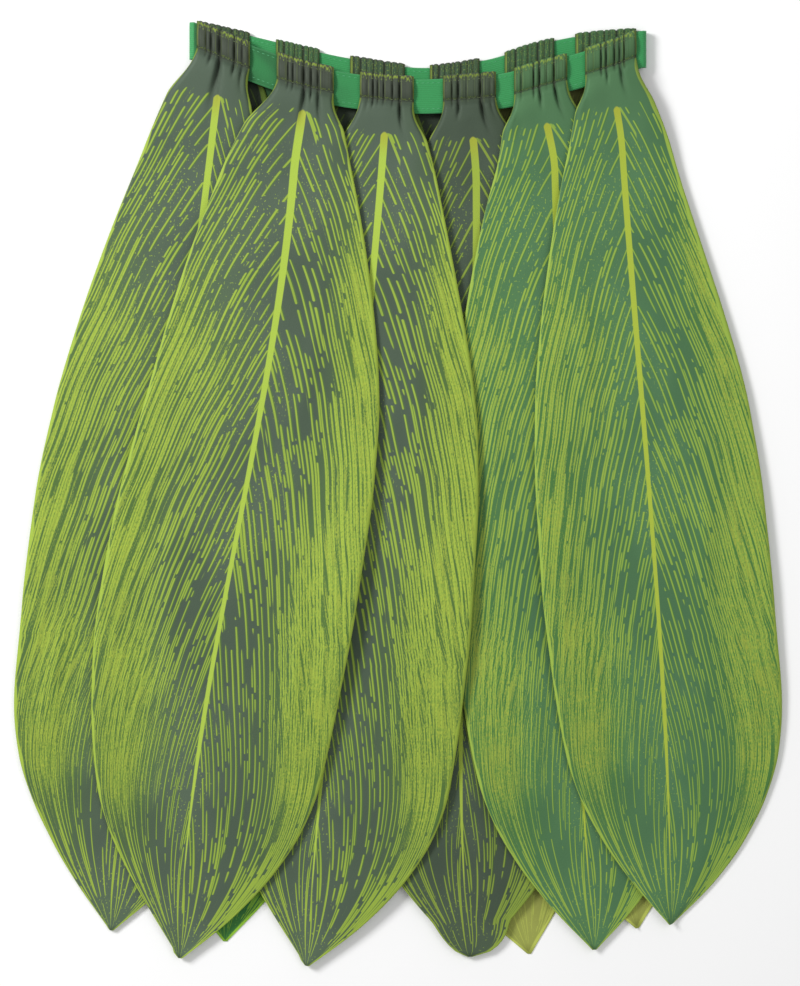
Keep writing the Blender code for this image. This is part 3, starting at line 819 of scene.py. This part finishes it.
def leaf_print(name, colours, plain=0.0, band=1.2):
    """Material of one leaf side. Its eight colours are the ground and its shade, the green beside a line,
    the lime and its deep tone, the gold, the rib and the head, its tone over the gathered casing, which is
    painted shade.
    plain fades the print, and band widens the lime along the right edge near the waist."""
    # head is the tone of the gathered casing: painted shade.
    ground, shade, gap, lime, deep_lime, gold, rib_lime, head = [srgb(code) for code in colours.split()]
    sheet = Sheet(name)
    noise, ripple = sheet.noise, sheet.ripple
    u, t = sheet.uv("leaf")
    x, run = sheet.uv("cut")
    fold, half_share = sheet.uv("folds")
    across = abs(u)
    side = u.sign()
    side_mm = abs(x) * (1 / MM)
    down_mm = run * (1 / MM)
    print_mm = t * LENGTH_MM
    half_mm = (half_share * 100).most(1.0)
    start, room = vein_field(across, t.most(0.0), half_mm)
    start = start + (noise(x * 22, run * 22, 3) - 0.5) * VEIN_WANDER

    # Where the lime is brushed in
    cloud = noise(x * 14, run * 10, 7, detail=2.0)
    dense = across.ease(0.30, 1.0) * t.ease(0.08, 0.34) * (1 - (t + side * 0.04).ease(0.72, 0.92))
    dense = dense * (0.44 + u.ease(-0.2, 0.2) * 0.08)
    for patch in BRUSHED:
        away_u = (u - patch.across) * (1 / patch.reach_across)
        away_t = (t - patch.share) * (1 / patch.reach_share)
        dense = dense + ((away_u * away_u + away_t * away_t) * -1.0).exp() * patch.strength
    dense = (dense + (cloud - 0.5) * 0.9 * t.ease(0.06, 0.2)).most(0.0).least(1.0)

    low = t.ease(0.50, 0.80)
    tip = t.ease(0.82, 0.93)
    bundle = u.ease(0.72, 0.90) * t.ease(0.72, 0.84) * 0.6 + tip * 0.12

    def veins(offset, half, seed, share, least_room, full_room):
        """Broken lines along the veins, over a share of their length, fewer where there is no room."""
        cell = start * (1 / VEIN_PITCH) + offset
        index = cell.floor()
        own = sheet.random(index * 1.37 + side * 31 + seed)
        last = sheet.random(index * 2.91 + side * 17 + seed)
        kept = ((room - least_room) * (1 / (full_room - least_room)) - last + bundle).ease(-0.03, 0.03)
        aside = (cell - index - 0.5 + (own - 0.5) * 0.36) * room
        length = ripple(index * 17.61 + side * 5.3 + seed + down_mm * (1 / 46))
        breaks = ripple(index * 9.37 + side * 7.7 + seed + down_mm * (1 / 9))
        whole = (breaks + dense * 0.15 - t.fade(0.15, 0.45) * 0.10).ease(0.22, 0.30)
        present = (length + share).ease(0.48, 0.55) * whole * kept
        present = present * (print_mm - last * 8).ease(RIB_START - 3, RIB_START - 1)
        half_line = half * (0.7 + own * 0.6) * (0.8 + (length - 0.3) * 0.8) * (1 - low * 0.62 + tip * 0.50)
        half_line = (half_line + dense * 0.06 * (1 - low)) * (0.4 + present * 0.6)
        line = 1 - ((abs(aside) - half_line) / 0.30).ease(-0.6, 1.0)
        outline = 1 - ((abs(aside + side * 0.3) - half_line) / 1.1).ease(-0.2, 1.0)
        return line * present.ease(0.0, 0.35), outline * present

    # Two sets of veins, and the brushed lime, fine lines, pits and specks between them
    near_top = t.fade(0.03, 0.16)
    bare = low * across.fade(0.10, 0.40) * 0.13
    first, first_edge = veins(0.0, 0.45, 5.0, 0.19 - near_top * 0.10 - bare + tip * 0.05, 0.3, 2.8)
    share = across * 0.34 + dense * 0.20 - 0.15 - t.fade(0.12, 0.36) * 0.12
    second, second_edge = veins(0.5, 0.40, 11.0, share, 1.6, 4.4)
    streak_place = start * (0.24 + low * 0.12)
    streak = noise(streak_place, down_mm * (1 / 70), side * 5 + 2, detail=2.0, roughness=0.65)
    grain = noise(x * 1300, run * 700, 1, detail=1.0)
    brushed = (streak + (dense - 0.93) * 0.34 + (grain - 0.5) * 0.22).ease(0.455, 0.545)
    fine = noise(x * 1500, run * 450, 8, detail=1.0).ease(0.46, 0.62) * dense
    pits = (1 - noise(x * 1300, run * 650, 9).ease(0.22, 0.28)) * dense.ease(0.2, 0.6)
    speck = noise(x * 900, run * 600, 4).ease(0.785, 0.81)
    specks = speck * cloud.ease(0.46, 0.56) * t.ease(0.04, 0.1) * (1 - dense)

    # The print starts below the head with two short veins that crown the rib
    printed = (print_mm + (cloud - 0.5) * 14 + side_mm * 0.1).ease(RIB_START - 1, RIB_START + 1)
    crown = 1 - ((abs(start - RIB_START + 3.4) * room / VEIN_PITCH - 0.75) / 0.3).ease(-0.5, 1.0)
    crown = crown * side_mm.fade(12, 13) * u.ease(-0.01, 0.0)
    crown = crown * print_mm.ease(RIB_START - 0.5, RIB_START + 0.5)
    lines = (first.most(second).most(specks * 0.8) * printed).most(crown)
    outlines = first_edge.most(second_edge) * printed
    brushed = brushed * printed
    rib_half = 2.6 - 1.35 * t.ease(-0.1, 0.62) - 0.95 * t.ease(0.70, 0.90)
    rib_top = (print_mm - side_mm * side_mm * 0.3).ease(RIB_START - 1.3, RIB_START - 0.1)
    rib = (1 - ((side_mm - rib_half) / 0.35).ease(-0.5, 1.0)) * rib_top * t.fade(0.88, 0.93)

    # Lime at the cut edge, along the ruffled fold and the lower stitching, and on the turned-down flap
    edge_mm = (1 - across) * half_mm
    edge_noise = noise(x * 60, run * 60, 6)
    right_rim = u.ease(0.0, 0.1) * t.fade(0.26, 0.42) * down_mm.ease(-2, 8) * band
    rim_mm = edge_noise * (2.6 - t.ease(0.84, 0.94) * 1.3) - 0.55 + t.ease(0.1, 0.4) * 0.5
    rim = (1 - (edge_mm - (rim_mm + plain * 6 + right_rim))).ease(0.5, 1.3)
    dip = ripple(u * 11 + 5) * 2.2 + ripple(u * 27 + 2).ease(0.58, 0.70) * 2.0 - 0.8
    fold_mm = abs(down_mm + (CASING_DEPTH / MM + 0.6) - dip)
    ridge = 1 - (fold_mm - 0.2 - ripple(u * 41) * 0.6).ease(-0.2, 0.4)
    hem_mm = abs(down_mm + 0.7 + (ripple(u * 15 + 1) - 0.5) * 1.4)
    hem = (1 - (hem_mm - 0.2).ease(-0.2, 0.4)) * ripple(u * 21 + 7).ease(0.42, 0.52)
    groove = ripple(u * 23 + 3) * down_mm.fade(-1, 14)
    turned = 1 - (down_mm + 18).ease(-1, 1)
    strip = (1 - (edge_mm - 1.6).ease(-0.3, 0.5)) * turned * u.fade(-0.1, 0.1)
    flap_specks = noise(x * 1100, run * 900, 12).ease(0.64, 0.70) * turned
    rim = rim.most(ridge * 0.85).most(hem * 0.55).most(groove.ease(0.66, 0.70) * 0.22).most(strip)
    rim = rim.most(flap_specks * 0.45)
    # Painted shade: thin dark lines of small tucks in the casing, and a dark line in the pinch at the lower
    # stitching.
    painted_tuck_shade = ripple(u * 31 + 9).ease(0.58, 0.70) * down_mm.fade(-3, 3)
    painted_tuck_shade = painted_tuck_shade.most(1 - abs(down_mm).ease(0.3, 1.6))

    # The colours, laid one over the other
    # Over the gathered casing the head tone is painted shade of the gathers.
    base = sheet.paint(shade, (cloud.ease(0.35, 0.65), ground), (down_mm.fade(-3, 4) * 0.6, head),
                       (turned * 0.6, FLAP_GREEN))
    tone = ripple(start * 0.21 + side * 3).ease(0.3, 0.7) * 0.5 + cloud.ease(0.35, 0.65) * 0.5
    golden = (edge_noise.ease(0.50, 0.66) * dense * 0.5).most(fine * 0.8)
    brush = sheet.paint(deep_lime, (tone * 0.4 + dense * 0.25, lime), (golden, gold))
    ink = sheet.paint(deep_lime, (tone * 0.45 + 0.50 + across * 0.12, lime), (fine * 0.45, gold))
    rib_colour = sheet.mix(print_mm.ease(RIB_START, RIB_START + 18) * 0.75 + 0.25, RIB_TOP, rib_lime)
    colour = sheet.paint(base, ((outlines * 0.75).most(dense * 0.85), gap), (brushed * 0.72, brush),
                         (lines, ink), (pits * 0.5, gap), (rib, rib_colour))
    if plain:
        colour = sheet.mix(plain, colour, shade)
    # Painted shade: darker deep in the gathers, inside the waist on the back leaves, over the casing down to
    # just below the lower stitching, and in the tucks.
    folded = (fold * 0.80 + down_mm.fade(-2, 10) * 0.28 + painted_tuck_shade * 0.35).least(0.92)
    colour = sheet.paint(colour, (rim, lime), (folded, PAINTED_FOLD_SHADE))

    threads = noise(x * 2600, run * 500, 0) + noise(x * 500, run * 2600, 5)
    sheet.bump(threads, 0.22, 0.0002)
    return sheet.finish(colour, 0.66 + (grain - 0.5) * 0.2, Sheen_Weight=0.04, Specular_IOR_Level=0.22)


GREY_PRINT = leaf_print(
    "grey green leaf print", "#536253 #475746 #50702e #9ab342 #749038 #b0be42 #a6c048 #4a4d42")
# A darker copy of the grey print: painted shade for front_leaf_4, which lies low between its neighbours.
SHADED_PRINT = leaf_print(
    "grey green leaf print in the shade", "#495748 #3d4b3b #425c28 #889e3c #657e33 #a2b23e #9ab040 #4f5e46")
GREEN_COLOURS = "#527b53 #476e49 #487636 #94b046 #6a903e #b2b942 #a6b83e #527a4c"
GREEN_PRINT = leaf_print("green leaf print", GREEN_COLOURS)
BANDED_PRINT = leaf_print("green leaf print with a broad edge", GREEN_COLOURS, band=2.6)
REVERSE_PRINT = leaf_print(
    "reverse of the print", "#4c5d48 #384636 #44602c #82a236 #587436 #90a838 #90a838 #4b4e42", plain=0.3)
OLIVE_REVERSE = leaf_print(
    "olive reverse of the print", "#a0a552 #8b9146 #6f8a38 #b5bf58 #969c48 #c4c85c #bcbc58 #486e48",
    plain=0.25)
LIME_REVERSE = leaf_print(
    "green reverse of the print", "#3f8040 #2c6636 #4a8a34 #98cc3c #569438 #a8cc3c #a0c83a #4b4e42",
    plain=0.2)
print("materials:", len(bpy.data.materials))

# %% [markdown]
# Dress the shells. The printed side faces out of the skirt: up on the front leaves, down on the back ones,
# whose reverse shows at the hem and inside the waist.

# %% Finish the leaf shells
GREEN_LEAVES = {"front_leaf_5", "front_leaf_6", "back_leaf_2", "back_leaf_5", "back_leaf_6"}
# front_leaf_4 takes the darker copy of its print as painted shade; front_leaf_6 a broader lime edge.
SHADED_AND_BANDED_PRINTS = {"front_leaf_4": SHADED_PRINT, "front_leaf_6": BANDED_PRINT}
BACK_INSIDE = {"back_leaf_2": LIME_REVERSE, "back_leaf_5": OLIVE_REVERSE, "back_leaf_6": OLIVE_REVERSE}
for leaf in LEAVES:
    piece = leaf_shells[leaf.name]
    green = leaf.name in GREEN_LEAVES
    outside = SHADED_AND_BANDED_PRINTS.get(leaf.name, GREEN_PRINT if green else GREY_PRINT)
    inside = BACK_INSIDE.get(leaf.name, REVERSE_PRINT)
    for material in (outside, inside) if leaf.side == "front" else (inside, outside):
        piece.data.materials.append(material)
    add_thickness(piece, SHELL, reverse_slot=1)
    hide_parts(leaf.name)
    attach(piece, BODY)

# %% [markdown]
# The waist tape is woven elastic: fine ribs run along it and its two edges are a little thicker. It is one
# grid, laid round the same path as its solid, and its two ends are welded to close the loop.

# %% Waist tape
TAPE_RUN_STEPS = 150
TAPE_TURN_STEPS = 16
TAPE_ROWS = 12
TAPE_SHELL = 1.1 * MM
TAPE_END_MARGIN = 4.5 * MM


def tape_path():
    """Closed path of the tape's top edge."""
    turn_radius = (FRONT_TAPE_HEIGHT - BACK_TAPE_HEIGHT) / 2
    middle_height = (FRONT_TAPE_HEIGHT + BACK_TAPE_HEIGHT) / 2
    left = FRONT_BAND[0].x * MM + turn_radius + TAPE_WALL / 2
    right = FRONT_BAND[-1].x * MM - turn_radius - TAPE_WALL / 2
    run = np.linspace(left, right, TAPE_RUN_STEPS)

    def turn(x, outward, first, second):
        for k in range(1, TAPE_TURN_STEPS):
            angle = math.pi * k / TAPE_TURN_STEPS
            y = band_line(first, x) + (band_line(second, x) - band_line(first, x)) * k / TAPE_TURN_STEPS
            reach = turn_radius * math.sin(angle)
            yield x + outward * reach, y, middle_height + outward * turn_radius * math.cos(angle)

    path = [(x, band_line("front", x), FRONT_TAPE_HEIGHT) for x in run]
    path += list(turn(right, 1, "front", "back"))
    path += [(x, band_line("back", x), BACK_TAPE_HEIGHT) for x in run[::-1]]
    path += list(turn(left, -1, "back", "front"))
    path.append(path[0])
    return np.array(path, float)


def tape_material():
    """Woven green elastic."""
    sheet = Sheet("green elastic tape")
    along, down = sheet.uv("cut")
    place = sheet.add("ShaderNodeCombineXYZ", {}, along * 3, down, 0.0).outputs[0]
    ribs = sheet.add("ShaderNodeTexWave", {"wave_type": "BANDS", "bands_direction": "Y"}, Vector=place,
                     Scale=260.0, Distortion=0.6, Detail=1.0)
    rib = Value(sheet, ribs.outputs["Fac"])
    cross = sheet.noise(along * 1800, down * 700, 2)
    worn = sheet.noise(along * 30, down * 60, 4)
    edge = abs(down * (1 / TAPE_WIDTH) - 0.5).ease(0.455, 0.475)
    # Darker towards the left end of the front run: painted shade.
    colour = sheet.paint(
        srgb("#287f43"), (rib * 0.5 + cross * 0.4, srgb("#369a57")),
        (along.fade(0.05, 0.15) * 0.8, srgb("#1c5a2e")), (worn.ease(0.4, 0.7) * 0.4, srgb("#2f8c4c")),
        (edge * 0.35, srgb("#4aa868")))
    sheet.bump(rib * 0.7 + cross * 0.5 + edge * 1.5, 0.5, 0.0003)
    return sheet.finish(colour, 0.58 + (cross - 0.5) * 0.2, Sheen_Weight=0.15, Specular_IOR_Level=0.35)


path = tape_path()
lengths = np.concatenate([[0], np.cumsum(np.linalg.norm(np.diff(path, axis=0), axis=1))])
left_end, right_end = FRONT_BAND[0].x * MM + TAPE_END_MARGIN, FRONT_BAND[-1].x * MM - TAPE_END_MARGIN
limited = np.clip(path[:, 0], left_end, right_end)
down = np.linspace(0, 1, TAPE_ROWS)[:, None]
tape_points = np.repeat(path[None, :, :], TAPE_ROWS, axis=0)
tape_points[:, :, 1] -= TAPE_WIDTH * band_stretch(limited) * down
flat_map = np.stack([lengths + 0 * down, down * TAPE_WIDTH + 0 * lengths], axis=2)
tape = build_grid("elastic_waist_tape", tape_points, {"cut": flat_map})
weld = tape.modifiers.new("closed loop", "WELD")
weld.merge_threshold = 0.01 * MM
add_thickness(tape, TAPE_SHELL)
tape.data.materials.append(tape_material())
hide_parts("waist_tape")
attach(tape, BODY)

# %% [markdown]
# Stitching. Two rows hold each head on the tape and run on over the bare tape. A stitch is a short rounded
# thread, so each is a small stretched sphere. Those on the leaves are one piece, those on the tape another.

# %% Stitches
STITCH_LENGTH = 2.3 * MM
STITCH_RADIUS = 0.18 * MM
STITCH_PITCH = 3.1 * MM
STITCH_SIDES = 6
STITCH_RINGS = 5
HEAD_LIFT = SHELL / 2 + 0.1 * MM
TAPE_LIFT = TAPE_SHELL / 2 + 0.08 * MM
TAPE_STITCH_DEPTHS = [2.4 * MM, 19 * MM]
LOOP_END = 3
LEAST_BARE = 4
BARE_INSET = 0.8


def stitch_at(bm, place, direction):
    """One stitch, lying along direction."""
    along = direction.normalized()
    up = Vector((0, 0, 1))
    up = (up - along * up.dot(along)).normalized()
    turned = Matrix((along, up.cross(along), up)).transposed().to_4x4()
    turned.translation = place
    size = Matrix.Diagonal((STITCH_LENGTH / 2, STITCH_RADIUS, STITCH_RADIUS, 1))
    bmesh.ops.create_uvsphere(bm, u_segments=STITCH_SIDES, v_segments=STITCH_RINGS, radius=1,
                              matrix=turned @ size)


def stitch_line(bm, points, lift):
    """Stitches at an even pitch along a line of points."""
    gaps = np.linalg.norm(np.diff(points, axis=0), axis=1)
    travelled = np.concatenate([[0], np.cumsum(gaps)])
    count = max(int(travelled[-1] / STITCH_PITCH), 1)
    for k in range(count):
        middle = (k + 0.5) * travelled[-1] / count
        ends = [np.array([np.interp(middle + d, travelled, points[:, axis]) for axis in range(3)])
                for d in (-STITCH_LENGTH / 2, STITCH_LENGTH / 2)]
        place = Vector((ends[0] + ends[1]) / 2) + Vector((0, 0, lift))
        stitch_at(bm, place, Vector(ends[1] - ends[0]))


def head_row(head, part, depth):
    """The row of a head's points that lies nearest to a depth below the tape's edge."""
    rows = [k for k, row in enumerate(HEAD_ROWS) if row.part == part]
    return head[min(rows, key=lambda k: abs(HEAD_ROWS[k].drop - depth))]


def thread_piece(name, bm, material):
    """All stitches of bm as one piece."""
    for face in bm.faces:
        face.smooth = True
    piece = make_piece(name, bm)
    piece.data.materials.append(material)
    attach(piece, BODY)
    return piece


def thread_material(name, pale, deep):
    """Twisted sewing thread."""
    sheet = Sheet(name)
    place = sheet.add("ShaderNodeTexCoord", {}).outputs["Object"]
    parts = sheet.add("ShaderNodeSeparateXYZ", {}, place)
    px, py, pz = (Value(sheet, parts.outputs[k]) for k in range(3))
    twist = sheet.noise(px * 1500 + py * 900, py * 1500 + pz * 900)
    sheet.bump(twist, 0.4, 0.0001)
    colour = sheet.mix(twist.ease(0.3, 0.7), deep, pale)
    return sheet.finish(colour, 0.6 + (twist - 0.5) * 0.1, Sheen_Weight=0.1)


head_bm = bmesh.new()
for leaf, head, first_row in stitch_rows:
    if leaf.side == "front":
        held_rows = [head_row(head, "outer", TOP_STITCH_DEPTH), first_row]
    else:
        held_rows = [head_row(head, "flap", TOP_STITCH_DEPTH), head_row(head, "flap", CASING_DEPTH)]
    for row in held_rows:
        stitch_line(head_bm, row, HEAD_LIFT)
LEAF_THREAD = thread_material("grey green thread", srgb("#66774c"), srgb("#3c4a34"))
head_stitches = thread_piece("head_stitches", head_bm, LEAF_THREAD)

tape_bm = bmesh.new()
for side, height in (("front", FRONT_TAPE_HEIGHT), ("back", BACK_TAPE_HEIGHT)):
    heads = sorted((leaf.head_x - leaf.half_head, leaf.head_x + leaf.half_head)
                   for leaf in LEAVES if leaf.side == side)
    edges = [FRONT_BAND[0].x + LOOP_END] + [value for pair in heads for value in pair]
    edges.append(FRONT_BAND[-1].x - LOOP_END)
    for left, right in zip(edges[::2], edges[1::2]):
        if right - left > LEAST_BARE:
            x = np.linspace(left + BARE_INSET, right - BARE_INSET, 12) * MM
            for drop in TAPE_STITCH_DEPTHS:
                y = band_line(side, x) - drop * band_stretch(x)
                stitch_line(tape_bm, np.stack([x, y, 0 * x + height], axis=1), TAPE_LIFT)
TAPE_THREAD = thread_material("green thread", srgb("#62b382"), srgb("#459a64"))
tape_stitches = thread_piece("tape_stitches", tape_bm, TAPE_THREAD)
stitch_faces = len(head_stitches.data.polygons) + len(tape_stitches.data.polygons)
print("stitches:", stitch_faces // (STITCH_SIDES * STITCH_RINGS))

# %% [markdown]
# The area of one leaf's flat cut, from the table of its half widths.

shares = np.linspace(0, 1, 400)
body_area = float(np.trapz(2 * cut_half_width(shares), shares * LEAF_LENGTH))

# %% [markdown]
# The stage: a plain pale floor, a broad soft light from above and a little to the left, and a camera that
# looks straight down, as the photograph does.

# %% Floor, light and camera
floor_bm = bmesh.new()
bmesh.ops.create_grid(floor_bm, x_segments=1, y_segments=1, size=4)
floor = make_piece("floor", floor_bm)
floor.data.materials.append(Sheet("pale floor").finish((0.95, 0.95, 0.95), 0.9))


def soft_light(name, place, size, power):
    """Square area light that looks at the middle of the part."""
    light = bpy.data.lights.new(name, "AREA")
    light.shape = "SQUARE"
    light.size = size
    light.energy = power
    lamp = bpy.data.objects.new(name, light)
    lamp.location = place
    lamp.rotation_euler = (-Vector(place)).to_track_quat("-Z", "Y").to_euler()
    bpy.context.scene.collection.objects.link(lamp)


soft_light("key", (-1.35, 0.75, 1.25), size=0.6, power=33)
soft_light("fill", (1.1, 0.4, 1.9), size=1.4, power=8)
scene = bpy.context.scene
scene.world = scene.world or bpy.data.worlds.new("studio")
scene.world.use_nodes = True
background = scene.world.node_tree.nodes["Background"]
background.inputs["Color"].default_value = (1, 1, 1, 1)
background.inputs["Strength"].default_value = 0.47
scene.view_settings.view_transform = "Standard"
scene.view_settings.look = "None"

MM_PER_PIXEL = 0.6414
PHOTO_ROWS = 986
LENS = 85
SENSOR = 36
VIEW_CENTRE = Vector((0.001, -0.0003, 0.008))
camera_data = bpy.data.cameras.new("camera")
camera_data.lens = LENS
camera_data.sensor_width = SENSOR
camera = bpy.data.objects.new("camera", camera_data)
distance = PHOTO_ROWS * MM_PER_PIXEL * MM * LENS / SENSOR
camera.location = VIEW_CENTRE + Vector((0, 0, distance))
scene.collection.objects.link(camera)
scene.camera = camera
print("camera height:", round(camera.location.z, 3), "m")

# %% [markdown]
# Last, the view layer is brought up to date.

# %% Update the view layer and finish
bpy.context.view_layer.update()
